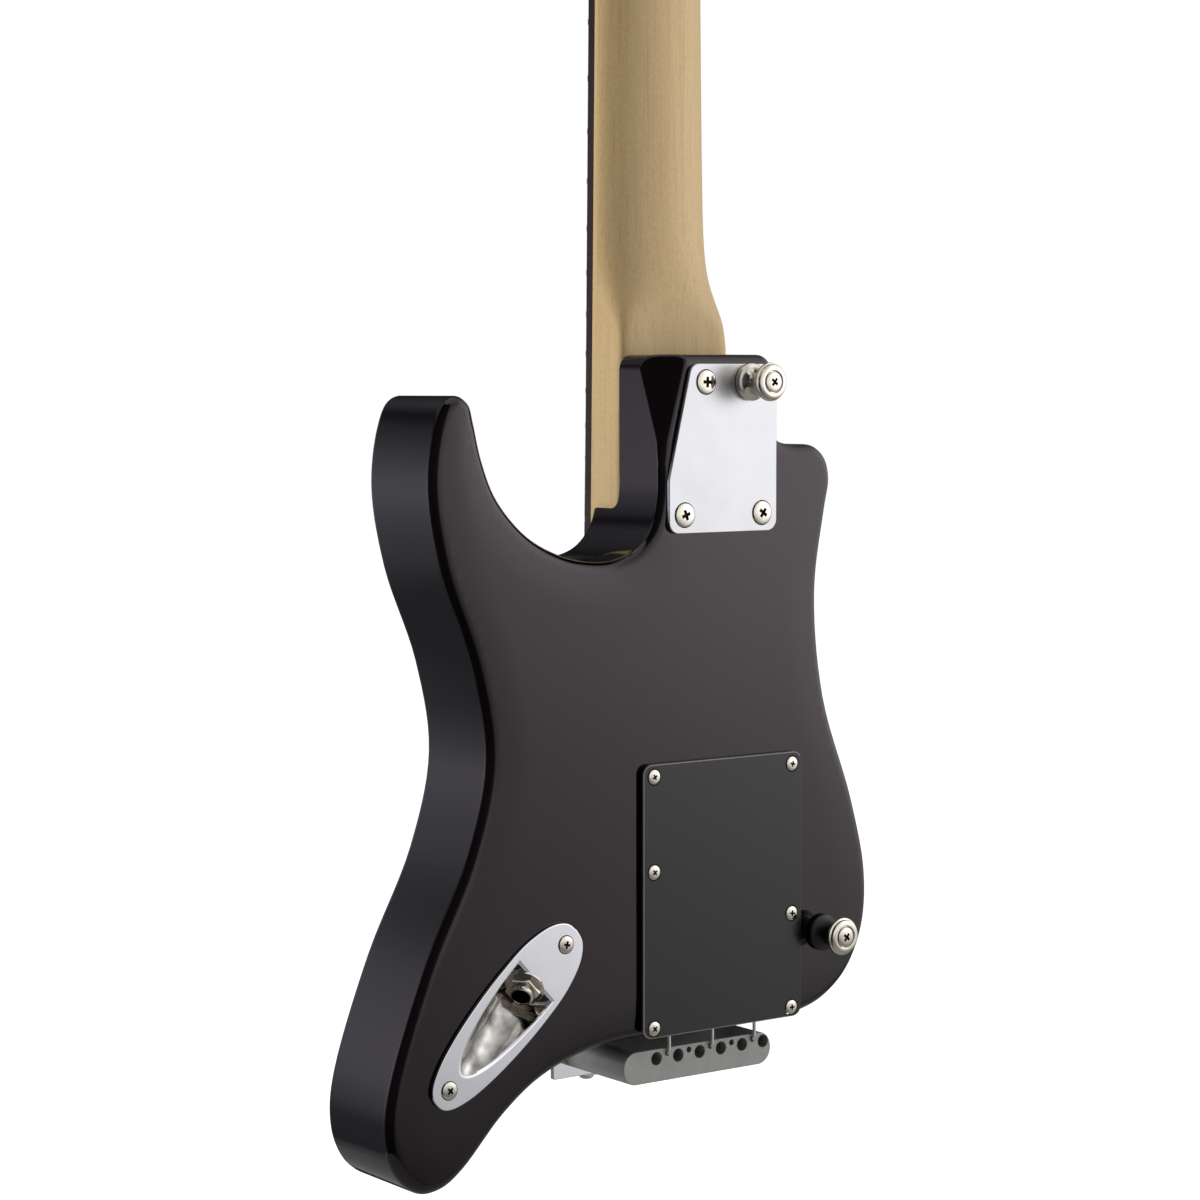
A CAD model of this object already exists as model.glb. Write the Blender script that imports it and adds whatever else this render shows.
import math

import bmesh
import bpy
from mathutils import Matrix, Quaternion, Vector, kdtree


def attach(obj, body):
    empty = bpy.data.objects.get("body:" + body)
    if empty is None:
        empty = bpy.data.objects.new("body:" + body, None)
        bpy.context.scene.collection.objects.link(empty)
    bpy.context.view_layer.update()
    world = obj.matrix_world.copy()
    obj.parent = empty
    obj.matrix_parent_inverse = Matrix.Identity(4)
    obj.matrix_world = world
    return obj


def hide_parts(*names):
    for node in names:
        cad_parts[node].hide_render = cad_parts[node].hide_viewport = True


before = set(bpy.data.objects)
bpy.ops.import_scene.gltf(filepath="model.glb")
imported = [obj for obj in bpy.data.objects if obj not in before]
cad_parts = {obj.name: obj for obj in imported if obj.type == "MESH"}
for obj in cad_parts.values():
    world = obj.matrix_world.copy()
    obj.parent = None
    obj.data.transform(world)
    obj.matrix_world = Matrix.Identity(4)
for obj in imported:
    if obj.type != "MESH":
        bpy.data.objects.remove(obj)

bl_info = {
    "name": "Travel guitar",
    "version": (1, 0, 0),
    "blender": (4, 5, 0),
    "location": "3D View > Sidebar > Guitar",
    "description": "Builds the looks of a travel guitar round its packed frame",
    "category": "Add Mesh",
}

# Lengths in this file are millimetres until a piece is finished.
# +Z runs up the neck, +Y out of the back and +X to the treble side
MM = 0.001

# The gap between parts that lie on each other, and how far a cutter reaches past what it cuts
SEAT = 0.3
PAST = 6

# Points this near are one point, and points this near to a plane lie in it
TOUCH = 1e-4
LEVEL = 1e-3

# Planes across the thickness, from the back to the fretboard's crown
BACK = -2.5
JOINT_FACE = BACK + SEAT + 1.6
POCKET_FLOOR = -29.8
HEEL_BACK = -30.1
HEAD_BACK = -31.7
TRUSS_ROD = -43.5
HEAD_FACE = -46.0
FRONT = -47.0
GUARD_BACK = FRONT - SEAT
GUARD_FRONT = GUARD_BACK - 2.2
BOARD_BOTTOM = -49.5
BOARD_TOP = -55.5

# Heights up the neck
BOARD_END = 175.25
LAST_FRET = 181.75
NECK_END = 182.45
HEEL_TOP = 256.45
SCALE = 647.7
NUT_TOP = 651.0
FRETS = 22
STRINGS = 6

# Half widths of the body's heel and of the neck at the nut, and what the neck gains by its last fret
HEEL_TREBLE = 28.0
HEEL_BASS = 26.5
NUT_HALF = 21.8
NECK_FLARE = 5.55
CROWN_RADIUS = 241

# How far the heel's bevel runs down the side, through the thickness and across the top
HEEL_BEVEL = (41.5, 16.2, 11.7)

# Outlines on x and z, set by hand
TREBLE_OUTLINE = (
    (28, 214.9), (28.2, 202.9), (31.3, 191.1), (38, 183.4), (48, 179.5), (60, 179.3), (73, 182.1),
    (88, 189.5), (101.6, 203.4), (108, 217.5), (111.7, 231.8), (113.7, 238), (118.6, 241.1),
    (124, 239), (128.3, 230), (131.2, 208), (125.9, 178), (112.3, 142.1), (106.6, 108), (115, 73.1),
    (134, 34.1), (149, -7), (151.2, -22), (149.4, -34), (144.1, -43), (136, -48.2), (127.1, -47.5),
    (118.1, -42), (99.9, -24), (84.1, -13), (65.9, -6.3), (44, -3.3), (30, -3.3),
)
BASS_OUTLINE = (
    (-30, -3.3), (-42, -3), (-55, 1.3), (-67, 11), (-75.3, 28), (-76.6, 50), (-69.5, 80),
    (-54.5, 122.1), (-50, 162.8), (-54.5, 195.9), (-56.6, 208), (-54.3, 216.2), (-48, 221.1),
    (-36, 221.8), (-29.5, 223.9), (-27, 230), (-26.5, 238),
)
GUARD_OUTLINE = (
    (-26.9, 210.8), (-36.5, 212.3), (-45.6, 208.2), (-47.2, 192.6), (-42.4, 162.1), (-46.7, 119.3),
    (-59.3, 79.8), (-66.1, 46.2), (-61.6, 24.9), (-45.6, 16.4), (50.2, 17.2), (82.1, 23.3),
    (103.8, 38.7), (107.2, 61.5), (95.8, 89), (93.4, 122.3), (98.1, 152.8), (91.2, 175.7),
    (73, 173.6), (54.7, 169.5), (38.7, 173.4), (26.9, 184.9),
)
HEAD_OUTLINE = (
    (21.8, 659.5), (22.9, 673.6), (23.9, 701.6), (26.2, 741.5), (28.5, 781.4), (31.5, 812.7),
    (22.9, 828.4), (10.3, 831.6), (1.2, 822.2), (-16.5, 753), (-32.8, 689.2), (-29, 669.4),
    (-21.8, 659.5),
)

# Where screws, buttons and controls stand, on x and z
COVER_SCREWS = ((33.9, 97), (-33.9, 97), (33.9, 60.6), (-33.9, 37.9), (33.9, 0.6), (-33.9, 0.6))
NECK_SCREWS = ((18.85, 195.66), (-18.85, 195.66), (8.6, 245.95))
HEEL_BUTTON = (-12.6, 245.95)
LOWER_BUTTON = (-51.6, 28.2)
VOLUME = (58.06, 60.0)
TONE = (81.96, 42.06)
SWITCH = (71.98, 92.07)
SWITCH_TURN = -0.45
PICKUPS = (("neck_pickup", 159.94, 0), ("middle_pickup", 99.96, 0), ("bridge_pickup", 41.08, 0.17))

# Half of the jack plate, as shares of its half width and of its length
JACK_OUTLINE = (
    (0, 0.5), (0.34, 0.487), (0.66, 0.43), (0.93, 0.29), (1, 0.1), (0.96, -0.08), (0.84, -0.25),
    (0.66, -0.38), (0.42, -0.465), (0.2, -0.495),
)
JACK_PLACE = (100.69, BACK, 13.6)
JACK_TURN = 0.83
JACK_LENGTH = 85
JACK_HALF_WIDTH = 14.3
JACK_FACE = SEAT + 1.4
JACK_SCREWS = ((0, 35.35), (0, -35.35))

# The cup is cut by a leaning cylinder and ends at a wall that leans back from the plug
CUP_RADIUS = 10.9
CUP_TILT = math.asin(CUP_RADIUS / (0.529 * JACK_LENGTH))
CUP_LEAN = Vector((0, -math.sin(CUP_TILT), math.cos(CUP_TILT)))
CUP_TOP = Vector((0, JACK_FACE, 17.0))
WALL_LEAN = 0.61
WALL_AXIS = Vector((0, math.sin(WALL_LEAN), -math.cos(WALL_LEAN)))
WALL_MIDDLE = CUP_TOP + Vector((0, -math.cos(WALL_LEAN), -math.sin(WALL_LEAN))) * 5.7


# Shapes

def shift(x, y, z):
    return Matrix.Translation((x, y, z))


def rotation(angle, axis="Y"):
    return Matrix.Rotation(angle, 4, axis)


def placed(bm, matrix):
    bmesh.ops.transform(bm, matrix=matrix, verts=bm.verts)
    return bm


def arc(centre, radius, start, end, steps):
    """Points of an arc between two angles in degrees."""
    angles = [math.radians(start + (end - start) * i / steps) for i in range(steps + 1)]
    return [(centre[0] + radius * math.cos(a), centre[1] + radius * math.sin(a)) for a in angles]


def smooth_run(points, steps):
    """Follows a centripetal curve through points that were set by hand."""
    knots = [Vector(p) for p in points]
    knots = [2 * knots[0] - knots[1], *knots, 2 * knots[-1] - knots[-2]]
    run = []
    for p0, p1, p2, p3 in zip(knots, knots[1:], knots[2:], knots[3:]):
        d0, d1, d2 = (math.sqrt((b - a).length) for a, b in ((p0, p1), (p1, p2), (p2, p3)))
        m1 = ((p1 - p0) / d0 - (p2 - p0) / (d0 + d1) + (p2 - p1) / d1) * d1
        m2 = ((p2 - p1) / d1 - (p3 - p1) / (d1 + d2) + (p3 - p2) / d2) * d1
        for i in range(steps):
            t = i / steps
            bend = (3 * (p2 - p1) - 2 * m1 - m2) * t**2 + (2 * (p1 - p2) + m1 + m2) * t**3
            run.append(p1 + m1 * t + bend)
    run.append(knots[-2])
    return run


def rounded(corners, radius, steps=6):
    """Rounds each corner of a polygon that runs anticlockwise."""
    outline = []
    count = len(corners)
    for i, corner in enumerate(corners):
        here = Vector(corner)
        before = (Vector(corners[i - 1]) - here).normalized()
        after = (Vector(corners[(i + 1) % count]) - here).normalized()
        half = before.angle(after) / 2
        centre = here + (before + after).normalized() * radius / math.sin(half)
        start = here + before * radius / math.tan(half) - centre
        sweep = math.pi - 2 * half
        for step in range(steps + 1):
            turn = Matrix.Rotation(sweep * step / steps, 2)
            outline.append(centre + turn @ start)
    return outline


def box_outline(x0, x1, z0, z1, radius, steps=6):
    return rounded(((x0, z0), (x1, z0), (x1, z1), (x0, z1)), radius, steps)

def slab(outline, y0, y1):
    """Fills an outline in plane y0 and extrudes it to plane y1."""
    bm = bmesh.new()
    face = bm.faces.new([bm.verts.new((p[0], y0, p[1])) for p in outline])
    made = bmesh.ops.extrude_face_region(bm, geom=[face])["geom"]
    far = [v for v in made if isinstance(v, bmesh.types.BMVert)]
    bmesh.ops.translate(bm, vec=(0, y1 - y0, 0), verts=far)
    bmesh.ops.recalc_face_normals(bm, faces=bm.faces)
    return bm


def block(low, high):
    """A plain box between two corners."""
    bm = bmesh.new()
    bmesh.ops.create_cube(bm, size=1)
    low, high = Vector(low), Vector(high)
    bmesh.ops.scale(bm, vec=high - low, verts=bm.verts)
    bmesh.ops.translate(bm, vec=(low + high) / 2, verts=bm.verts)
    return bm


def rod(start, end, radius, sides=32, end_radius=None):
    """A round bar between two points."""
    bm = bmesh.new()
    start, end = Vector(start), Vector(end)
    along = end - start
    bmesh.ops.create_cone(
        bm,
        cap_ends=True,
        segments=sides,
        radius1=radius,
        radius2=radius if end_radius is None else end_radius,
        depth=along.length,
    )
    turn = along.to_track_quat("Z", "Y").to_matrix().to_4x4()
    return placed(bm, Matrix.Translation((start + end) / 2) @ turn)


def rod_y(x, z, y0, y1, radius, sides=32):
    return rod((x, y0, z), (x, y1, z), radius, sides)


def turned(profile, sides=48):
    """Turns a profile of radius and height once round the Y axis."""
    bm = bmesh.new()
    verts = [bm.verts.new((radius, height, 0)) for radius, height in profile]
    edges = [bm.edges.new(pair) for pair in zip(verts, verts[1:])]
    bmesh.ops.spin(
        bm,
        geom=verts + edges,
        cent=(0, 0, 0),
        axis=(0, 1, 0),
        angle=2 * math.pi,
        steps=sides,
        use_merge=True,
    )
    bmesh.ops.remove_doubles(bm, verts=bm.verts, dist=TOUCH)
    bmesh.ops.recalc_face_normals(bm, faces=bm.faces)
    return bm


def loft(rings):
    """Bridges closed rings of points and closes both ends."""
    bm = bmesh.new()
    loops = []
    for ring in rings:
        verts = [bm.verts.new(p) for p in ring]
        loops.append([bm.edges.new((a, b)) for a, b in zip(verts, verts[1:] + verts[:1])])
    for low, high in zip(loops, loops[1:]):
        bmesh.ops.bridge_loops(bm, edges=low + high)
    bmesh.ops.contextual_create(bm, geom=loops[0])
    bmesh.ops.contextual_create(bm, geom=loops[-1])
    bmesh.ops.recalc_face_normals(bm, faces=bm.faces)
    return bm


def wire(points, radius, sides=12):
    """A round wire along a run of points."""
    curve = bpy.data.curves.new("wire", "CURVE")
    curve.dimensions = "3D"
    curve.bevel_depth = radius
    curve.bevel_resolution = sides // 4
    curve.use_fill_caps = True
    spline = curve.splines.new("POLY")
    spline.points.add(len(points) - 1)
    for place, point in zip(spline.points, points):
        place.co = (*point, 1)
    holder = bpy.data.objects.new("wire", curve)
    bm = bmesh.new()
    bm.from_mesh(holder.to_mesh())
    bpy.data.objects.remove(holder)
    bpy.data.curves.remove(curve)
    return bm


def gathered(shapes):
    """Puts separate shapes into one mesh."""
    whole = bmesh.new()
    for bm in shapes:
        mesh = bpy.data.meshes.new("part")
        bm.to_mesh(mesh)
        bm.free()
        whole.from_mesh(mesh)
        bpy.data.meshes.remove(mesh)
    return whole


def round_edges(bm, edges, width, segments=4):
    bmesh.ops.bevel(
        bm,
        geom=edges,
        offset=width,
        offset_type="OFFSET",
        affect="EDGES",
        segments=segments,
        profile=0.5,
        material=-1,
    )
    return bm


def edges_at(bm, y, inside=lambda x, z: True):
    """Edges that lie in a plane across the thickness and whose ends pass a test on x and z."""
    return [
        edge for edge in bm.edges
        if all(abs(v.co.y - y) < LEVEL and inside(v.co.x, v.co.z) for v in edge.verts)
    ]


def rounded_slab(outline, y0, y1, width, segments=3):
    bm = slab(outline, y0, y1)
    return round_edges(bm, edges_at(bm, y0) + edges_at(bm, y1), width, segments)


def loose_object(bm):
    mesh = bpy.data.meshes.new("cut")
    bm.to_mesh(mesh)
    bm.free()
    obj = bpy.data.objects.new("cut", mesh)
    bpy.context.collection.objects.link(obj)
    return obj


def combined(bm, others, operation="DIFFERENCE"):
    """Cuts closed shapes out of a closed shape, or adds them to it."""
    base = loose_object(bm)
    tools = [loose_object(other) for other in others]
    for tool in tools:
        modifier = base.modifiers.new("Combine", "BOOLEAN")
        modifier.operation = operation
        modifier.solver = "EXACT"
        modifier.object = tool
    bpy.context.view_layer.update()
    shape = base.evaluated_get(bpy.context.evaluated_depsgraph_get())
    result = bmesh.new()
    result.from_mesh(shape.to_mesh())
    for obj in [base, *tools]:
        mesh = obj.data
        bpy.data.objects.remove(obj)
        bpy.data.meshes.remove(mesh)
    bmesh.ops.remove_doubles(result, verts=result.verts, dist=TOUCH)
    return result


def finish(bm, name, look, *nodes, body="guitar", slot=None, sharp=32, marked=()):
    """Makes a piece from a shape in millimetres and lets it stand for the nodes that are named.

    Faces with a material index take the looks in marked. Corners above so many degrees stay sharp.
    """
    bmesh.ops.remove_doubles(bm, verts=bm.verts, dist=TOUCH)
    bmesh.ops.recalc_face_normals(bm, faces=bm.faces)
    for edge in bm.edges:
        edge.smooth = len(edge.link_faces) == 2 and edge.calc_face_angle() < math.radians(sharp)
    for face in bm.faces:
        face.smooth = True
    bmesh.ops.scale(bm, vec=(MM, MM, MM), verts=bm.verts)
    mesh = bpy.data.meshes.new(name)
    bm.to_mesh(mesh)
    bm.free()
    for each in (look, *marked):
        mesh.materials.append(material_for(each))
    piece = bpy.data.objects.new(name, mesh)
    bpy.context.collection.objects.link(piece)
    normals = piece.modifiers.new("Flat faces stay flat", "WEIGHTED_NORMAL")
    normals.keep_sharp = True
    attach(piece, body)
    if nodes:
        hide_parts(*nodes)


def dress(look, *names, edge=0.25):
    """Gives nodes of the frame their look and takes the razor edge off them."""
    for name in names:
        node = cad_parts[name]
        node.data.materials.clear()
        node.data.materials.append(material_for(look))
        weld = node.modifiers.new("Weld", "WELD")
        weld.merge_threshold = 1e-6
        bevel = node.modifiers.new("Edges", "BEVEL")
        bevel.width = edge * MM
        bevel.segments = 2
        bevel.angle_limit = math.radians(40)


# Materials

def linear(code):
    """Turns an sRGB hex colour to linear red, green, blue and alpha."""
    values = [int(code[i:i + 2], 16) / 255 for i in (0, 2, 4)]
    return (*(v / 12.92 if v <= 0.04045 else ((v + 0.055) / 1.055) ** 2.4 for v in values), 1)


def shade(colour, *factors):
    """A colour times one factor, or times one each for red, green and blue."""
    factors = factors * 3 if len(factors) == 1 else factors
    return (*(min(1.0, c * f) for c, f in zip(colour, factors)), 1)


def add(tree, kind, inputs=None, **settings):
    """Adds a node, changes its settings, and sets or links its inputs."""
    node = tree.nodes.new(kind)
    for name, value in settings.items():
        setattr(node, name, value)
    for socket, value in (inputs or {}).items():
        if isinstance(value, bpy.types.NodeSocket):
            tree.links.new(value, node.inputs[socket])
        else:
            node.inputs[socket].default_value = value
    return node


def cleared(owner):
    """The emptied node tree of a material or a world."""
    owner.use_nodes = True
    owner.node_tree.nodes.clear()
    return owner.node_tree


def new_material(name, **surface):
    """A material with its shader, whose constants are set on its own sockets."""
    material = bpy.data.materials.new(name)
    tree = cleared(material)
    sockets = {key.replace("_", " "): value for key, value in surface.items()}
    shader = add(tree, "ShaderNodeBsdfPrincipled", sockets)
    add(tree, "ShaderNodeOutputMaterial", {"Surface": shader.outputs["BSDF"]})
    return material, tree, shader


def pattern(tree, size, detail=2.0, rough=0.5):
    """Noise with features as large as given in millimetres, all round or along x, y and z."""
    sizes = size if isinstance(size, tuple) else (size, size, size)
    place = add(tree, "ShaderNodeTexCoord").outputs["Object"]
    scale = tuple(1 / (s * MM) for s in sizes)
    mapping = add(tree, "ShaderNodeMapping", {"Vector": place, "Scale": scale})
    settings = {"Vector": mapping.outputs["Vector"], "Scale": 1.0, "Detail": detail, "Roughness": rough}
    return add(tree, "ShaderNodeTexNoise", settings).outputs["Fac"]


def between(tree, factor, low, high, start=0.3, end=0.7):
    """A colour mixed by a factor, or a number from low to high as the factor goes from start to end."""
    if isinstance(high, tuple):
        return add(tree, "ShaderNodeMix", {0: factor, 6: low, 7: high}, data_type="RGBA").outputs[2]
    limits = {"Value": factor, "From Min": start, "From Max": end, "To Min": low, "To Max": high}
    return add(tree, "ShaderNodeMapRange", limits).outputs["Result"]


def surfaced(made, colour, rough, height=None, depth=0.0):
    """Links a shader's colour and roughness, and a relief as deep as given in millimetres."""
    material, tree, shader = made
    tree.links.new(colour, shader.inputs["Base Color"])
    tree.links.new(rough, shader.inputs["Roughness"])
    if height is not None:
        bump = add(tree, "ShaderNodeBump", {"Height": height, "Distance": depth * MM, "Strength": 1.0})
        tree.links.new(bump.outputs["Normal"], shader.inputs["Normal"])
    return material


def even_material(name, low, high, drift, marks, sheen, grain, depth, details=(2.0, 1.0), **surface):
    """A material whose colour drifts slowly, with faint marks in its sheen and a grain in its skin."""
    made = new_material(name, **surface)
    tree = made[1]
    colour = between(tree, pattern(tree, drift), low, high)
    rough = between(tree, pattern(tree, marks, details[0]), *sheen)
    skin = pattern(tree, grain, details[1]) if depth else None
    return surfaced(made, colour, rough, skin, depth)


def black_lacquer(colour):
    """Polyurethane sprayed on wood and buffed: deep gloss with a faint orange peel."""
    return even_material(
        "polyurethane_lacquer", shade(colour, 0.7), colour, drift=70, marks=9, sheen=(0.035, 0.06),
        grain=5, depth=0.012, IOR=1.5, Specular_Tint=linear("fff0f5"),
    )


def satin_abs(name, colour):
    """Vacuum formed ABS sheet: even satin with a fine moulded grain."""
    return even_material(
        name, shade(colour, 0.85), colour, drift=25, marks=3, sheen=(0.16, 0.24), grain=0.5, depth=0.006,
        details=(2.0, 3.0), IOR=1.48,
    )


def gloss_plastic(name, colour, rough):
    """Moulded plastic: clean gloss that softens a little where it has been handled."""
    return even_material(
        name, shade(colour, 0.96, 0.93, 0.86), colour, drift=30, marks=6, sheen=(rough, rough * 1.6),
        grain=4, depth=0.01, IOR=1.5,
    )


def polished_metal(name, colour, rough, wipe, texture=0.0, grit=1.0, uneven=1.7):
    """Plated or bare metal: faint wiping marks, and a cast or ground texture if it has one."""
    return even_material(
        name, shade(colour, 0.86), colour, drift=14, marks=(wipe, wipe, 4 * wipe),
        sheen=(rough, rough * uneven), grain=grit, depth=texture, details=(3.0, 3.0), Metallic=1.0,
    )


def drawn_chrome(colour):
    """Chrome in the pressed cup: duller than the plate, with soft waves and clouded patches."""
    made = new_material("drawn_chrome", Metallic=1.0)
    tree = made[1]
    clouds = pattern(tree, 6, 1.5)
    contrast = between(tree, clouds, 0.0, 1.0)
    dull = between(tree, contrast, shade(colour, 0.3), colour)
    return surfaced(made, dull, between(tree, clouds, 0.13, 0.07), pattern(tree, 7, 0.0), 0.2)


def cast_zinc(colour):
    """Tumbled zinc casting: dull grey, a fine pitted skin with soft shine."""
    made = new_material("cast_zinc", Metallic=0.6)
    tree = made[1]
    skin = pattern(tree, 0.7, 4.0, 0.6)
    mottled = between(tree, pattern(tree, 6, 4.0), colour, shade(colour, 1.35))
    return surfaced(made, mottled, between(tree, skin, 0.42, 0.6), skin, 0.06)


def satin_maple(colour):
    """Hard maple with a thin satin coat: straight fine lines, short pores, slow colour bands."""
    made = new_material("satin_maple", IOR=1.5)
    tree = made[1]
    late = shade(colour, 0.78, 0.71, 0.62)
    pore = shade(colour, 0.62, 0.53, 0.42)
    bands = between(tree, pattern(tree, (9, 9, 260), 3.0), colour, late)
    lines = pattern(tree, (1.1, 1.1, 70), 3.0, 0.6)
    lined = between(tree, between(tree, lines, 0.0, 1.0, 0.54, 0.72), bands, late)
    specks = pattern(tree, (0.5, 0.5, 7), 1.0)
    grained = between(tree, between(tree, specks, 0.0, 0.5, 0.68, 0.78), lined, pore)
    figure = between(tree, pattern(tree, (0.7, 0.7, 1.5), 2.0, 0.6), 0.9, 1.06)
    curly = add(tree, "ShaderNodeHueSaturation", {"Color": grained, "Value": figure}).outputs["Color"]
    return surfaced(made, curly, between(tree, lines, 0.34, 0.46), lines, 0.03)


def oiled_rosewood(colour):
    """Oiled dark hardwood: open pores drawn out along the grain, streaks from brown to near black."""
    made = new_material("oiled_rosewood", IOR=1.5)
    tree = made[1]
    streaks = between(tree, pattern(tree, (3, 3, 120), 4.0, 0.6), shade(colour, 0.35), colour)
    pores = pattern(tree, (0.6, 0.6, 12), 2.0)
    return surfaced(made, streaks, between(tree, pores, 0.42, 0.6), pores, 0.12)


def three_ply(colour, core):
    """Laminated PVC sheet, white, black and white, whose core shows on the bevelled edge."""
    made = new_material("three_ply_sheet", IOR=1.5)
    tree = made[1]
    place = add(tree, "ShaderNodeTexCoord").outputs["Object"]
    depth = add(tree, "ShaderNodeSeparateXYZ", {"Vector": place}).outputs["Y"]
    middle = (GUARD_FRONT + GUARD_BACK) / 2 * MM
    off = add(tree, "ShaderNodeMath", {0: depth, 1: middle}, operation="SUBTRACT").outputs[0]
    distance = add(tree, "ShaderNodeMath", {0: off}, operation="ABSOLUTE").outputs[0]
    in_core = add(tree, "ShaderNodeMath", {0: distance, 1: 0.35 * MM}, operation="LESS_THAN").outputs[0]
    ply = between(tree, in_core, colour, core)
    return surfaced(made, ply, between(tree, pattern(tree, 8), 0.12, 0.2), pattern(tree, 5, 1.0), 0.012)


def wound_string(colour):
    """Steel core wound with nickel wire, drawn coarser than real so that the turns show."""
    made = new_material("wound_string", Metallic=1.0)
    tree = made[1]
    place = add(tree, "ShaderNodeTexCoord").outputs["Object"]
    turns = {"Vector": place, "Scale": 1 / (1.6 * MM), "Distortion": 0.0}
    winding = add(tree, "ShaderNodeTexWave", turns, bands_direction="Z").outputs["Fac"]
    lines = between(tree, winding, shade(colour, 0.6), colour)
    return surfaced(made, lines, between(tree, winding, 0.4, 0.25), winding, 0.05)


def colour_property(name, description, code):
    return bpy.props.FloatVectorProperty(
        name=name, description=description, subtype="COLOR", size=4, min=0, max=1, default=linear(code),
    )


class GuitarColours(bpy.types.PropertyGroup):
    """Colours of the guitar's finishes, as linear values"""

    lacquer: colour_property("Lacquer", "Body colour under the gloss", "070506")
    cover: colour_property("Rear cover", "Satin sheet over the springs", "0e0c0c")
    maple: colour_property("Maple", "Neck and headstock", "bea578")
    rosewood: colour_property("Fretboard", "Dark hardwood board", "2a1a15")
    plastic: colour_property("Plastic", "Guard, pickup covers and knobs", "e6e3db")
    zinc: colour_property("Tremolo block", "Bare casting", "878884")


class GuitarSizes(bpy.types.PropertyGroup):
    """Sizes that can change without losing the fit to the frame"""

    rim: bpy.props.FloatProperty(
        name="Rim radius", description="Rounding of the body's front and back edges",
        default=4 * MM, min=1 * MM, max=6 * MM, unit="LENGTH",
    )
    heel_ease: bpy.props.FloatProperty(
        name="Heel softness", description="Width of the rounding along the edges of the heel's bevel",
        default=1.2 * MM, min=0.3 * MM, max=2 * MM, unit="LENGTH",
    )
    spring_turns: bpy.props.IntProperty(
        name="Spring turns", description="Turns of each tremolo spring", default=26, min=11, max=36,
    )
    recess_share: bpy.props.FloatProperty(
        name="Screw recess", description="Length of a screw's cross as a share of its head",
        default=0.52, min=0.3, max=0.8, subtype="FACTOR",
    )


# The record's slot that each look belongs to
MATERIALS = {}


def material_for(look):
    """The material of a look. All of them are made the first time that one is asked for."""
    if not MATERIALS:
        colours = bpy.context.scene.guitar_colours
        MATERIALS.update(
            lacquer=black_lacquer(tuple(colours.lacquer)),
            cover=satin_abs("abs_sheet", tuple(colours.cover)),
            # the same sheet where it was cut, paler and scratched
            cut_edge=satin_abs("cut_abs_edge", linear("6a6666")),
            maple=satin_maple(tuple(colours.maple)),
            rosewood=oiled_rosewood(tuple(colours.rosewood)),
            # mirror bright, with a few broad wiping marks
            chrome=polished_metal("chrome_plate", linear("f2f2f6"), 0.05, 6),
            drawn_cup=drawn_chrome(linear("bebab5")),
            # an even, soft grey shine
            satin_chrome=polished_metal("satin_chrome_plate", linear("c6c6c8"), 0.34, 30, uneven=1.1),
            # warmer and softer than chrome, with a fine skin
            nickel=polished_metal("nickel_plate", linear("dad3c6"), 0.1, 3, 0.004, 0.8),
            # yellowish, and worn to a soft shine by the strings
            fret=polished_metal("nickel_silver", linear("c9c6ba"), 0.2, 2),
            # dull grey on a finely ground skin
            steel=polished_metal("zinc_plated_steel", linear("a9aaab"), 0.28, 2, 0.01, 0.6),
            # bright drawn wire
            music_wire=polished_metal("music_wire", linear("eeeae2"), 0.28, 2),
            wound=wound_string(linear("b9b4a8")),
            zinc=cast_zinc(tuple(colours.zinc)),
            # cream, rubbed to a soft shine
            bone=gloss_plastic("polished_bone", linear("e9e1cc"), 0.3),
            # clear pale gloss
            pearl=gloss_plastic("pearloid", linear("e6e2d8"), 0.12),
            plastic=gloss_plastic("moulded_abs", tuple(colours.plastic), 0.16),
            guard=three_ply(tuple(colours.plastic), linear("141414")),
            # black with a dull shine
            blacked=gloss_plastic("blacked_brass", linear("030303"), 0.4),
            # the near black of a deep corner in its own shade
            recess=gloss_plastic("shaded_recess", linear("0a0908"), 0.6),
        )
    return MATERIALS[look]


# Screws

def screw_head(radius, rise):
    """An oval head with a cross recess, whose faces are marked."""
    share = bpy.context.scene.guitar_sizes.recess_share
    sink = 0.6 * radius
    floor = rise - 0.3 * radius
    shoulder = 0.35 * rise
    steps = 8
    angles = [math.pi / 2 * i / steps for i in range(1, steps)]
    dome = [(radius * math.cos(a), shoulder + (rise - shoulder) * math.sin(a)) for a in angles]
    profile = [(0, -sink), (radius * 0.9, -sink), (radius, 0), (radius, shoulder), *dome, (0, rise)]
    reach, half = radius * share, 0.16 * radius
    arms = []
    for angle in (0, math.pi / 2):
        arm = block((-reach, floor, -half), (reach, rise + 1, half))
        low = [v for v in arm.verts if v.co.y < floor + 0.01]
        bmesh.ops.scale(arm, vec=(0.7, 1, 0.8), verts=low)
        arms.append(placed(arm, rotation(angle)))
    head = combined(turned(profile, 36), arms)
    for face in head.faces:
        middle = face.calc_center_median()
        out = math.hypot(middle.x, middle.z) / radius
        skin = shoulder + (rise - shoulder) * math.sqrt(max(0, 1 - out**2))
        face.material_index = int(out < share * 1.05 and floor - 0.1 < middle.y < skin - 0.03 * radius)
    return head


def shade_holes(bm, places, radius):
    """Marks the walls of screw holes at (x, z) places."""
    for face in bm.faces:
        middle = face.calc_center_median()
        near = any(math.hypot(middle.x - x, middle.z - z) < radius + 0.05 for x, z in places)
        if near and abs(face.normal.y) < 0.5:
            face.material_index = 1
    return bm


def screws(places, y, radius, rise, spin, depth=0.0):
    """Heads at (x, z) places in a plane, each turned a little further than the last."""
    template = screw_head(radius, rise)
    shapes = []
    for i, (x, z) in enumerate(places):
        shapes.append(placed(template.copy(), shift(x, y, z) @ rotation(spin * (1 + 1.7 * i))))
        if depth:
            shapes.append(rod_y(x, z, y - depth, y - 0.5, radius * 0.45, 16))
    template.free()
    return gathered(shapes)


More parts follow.
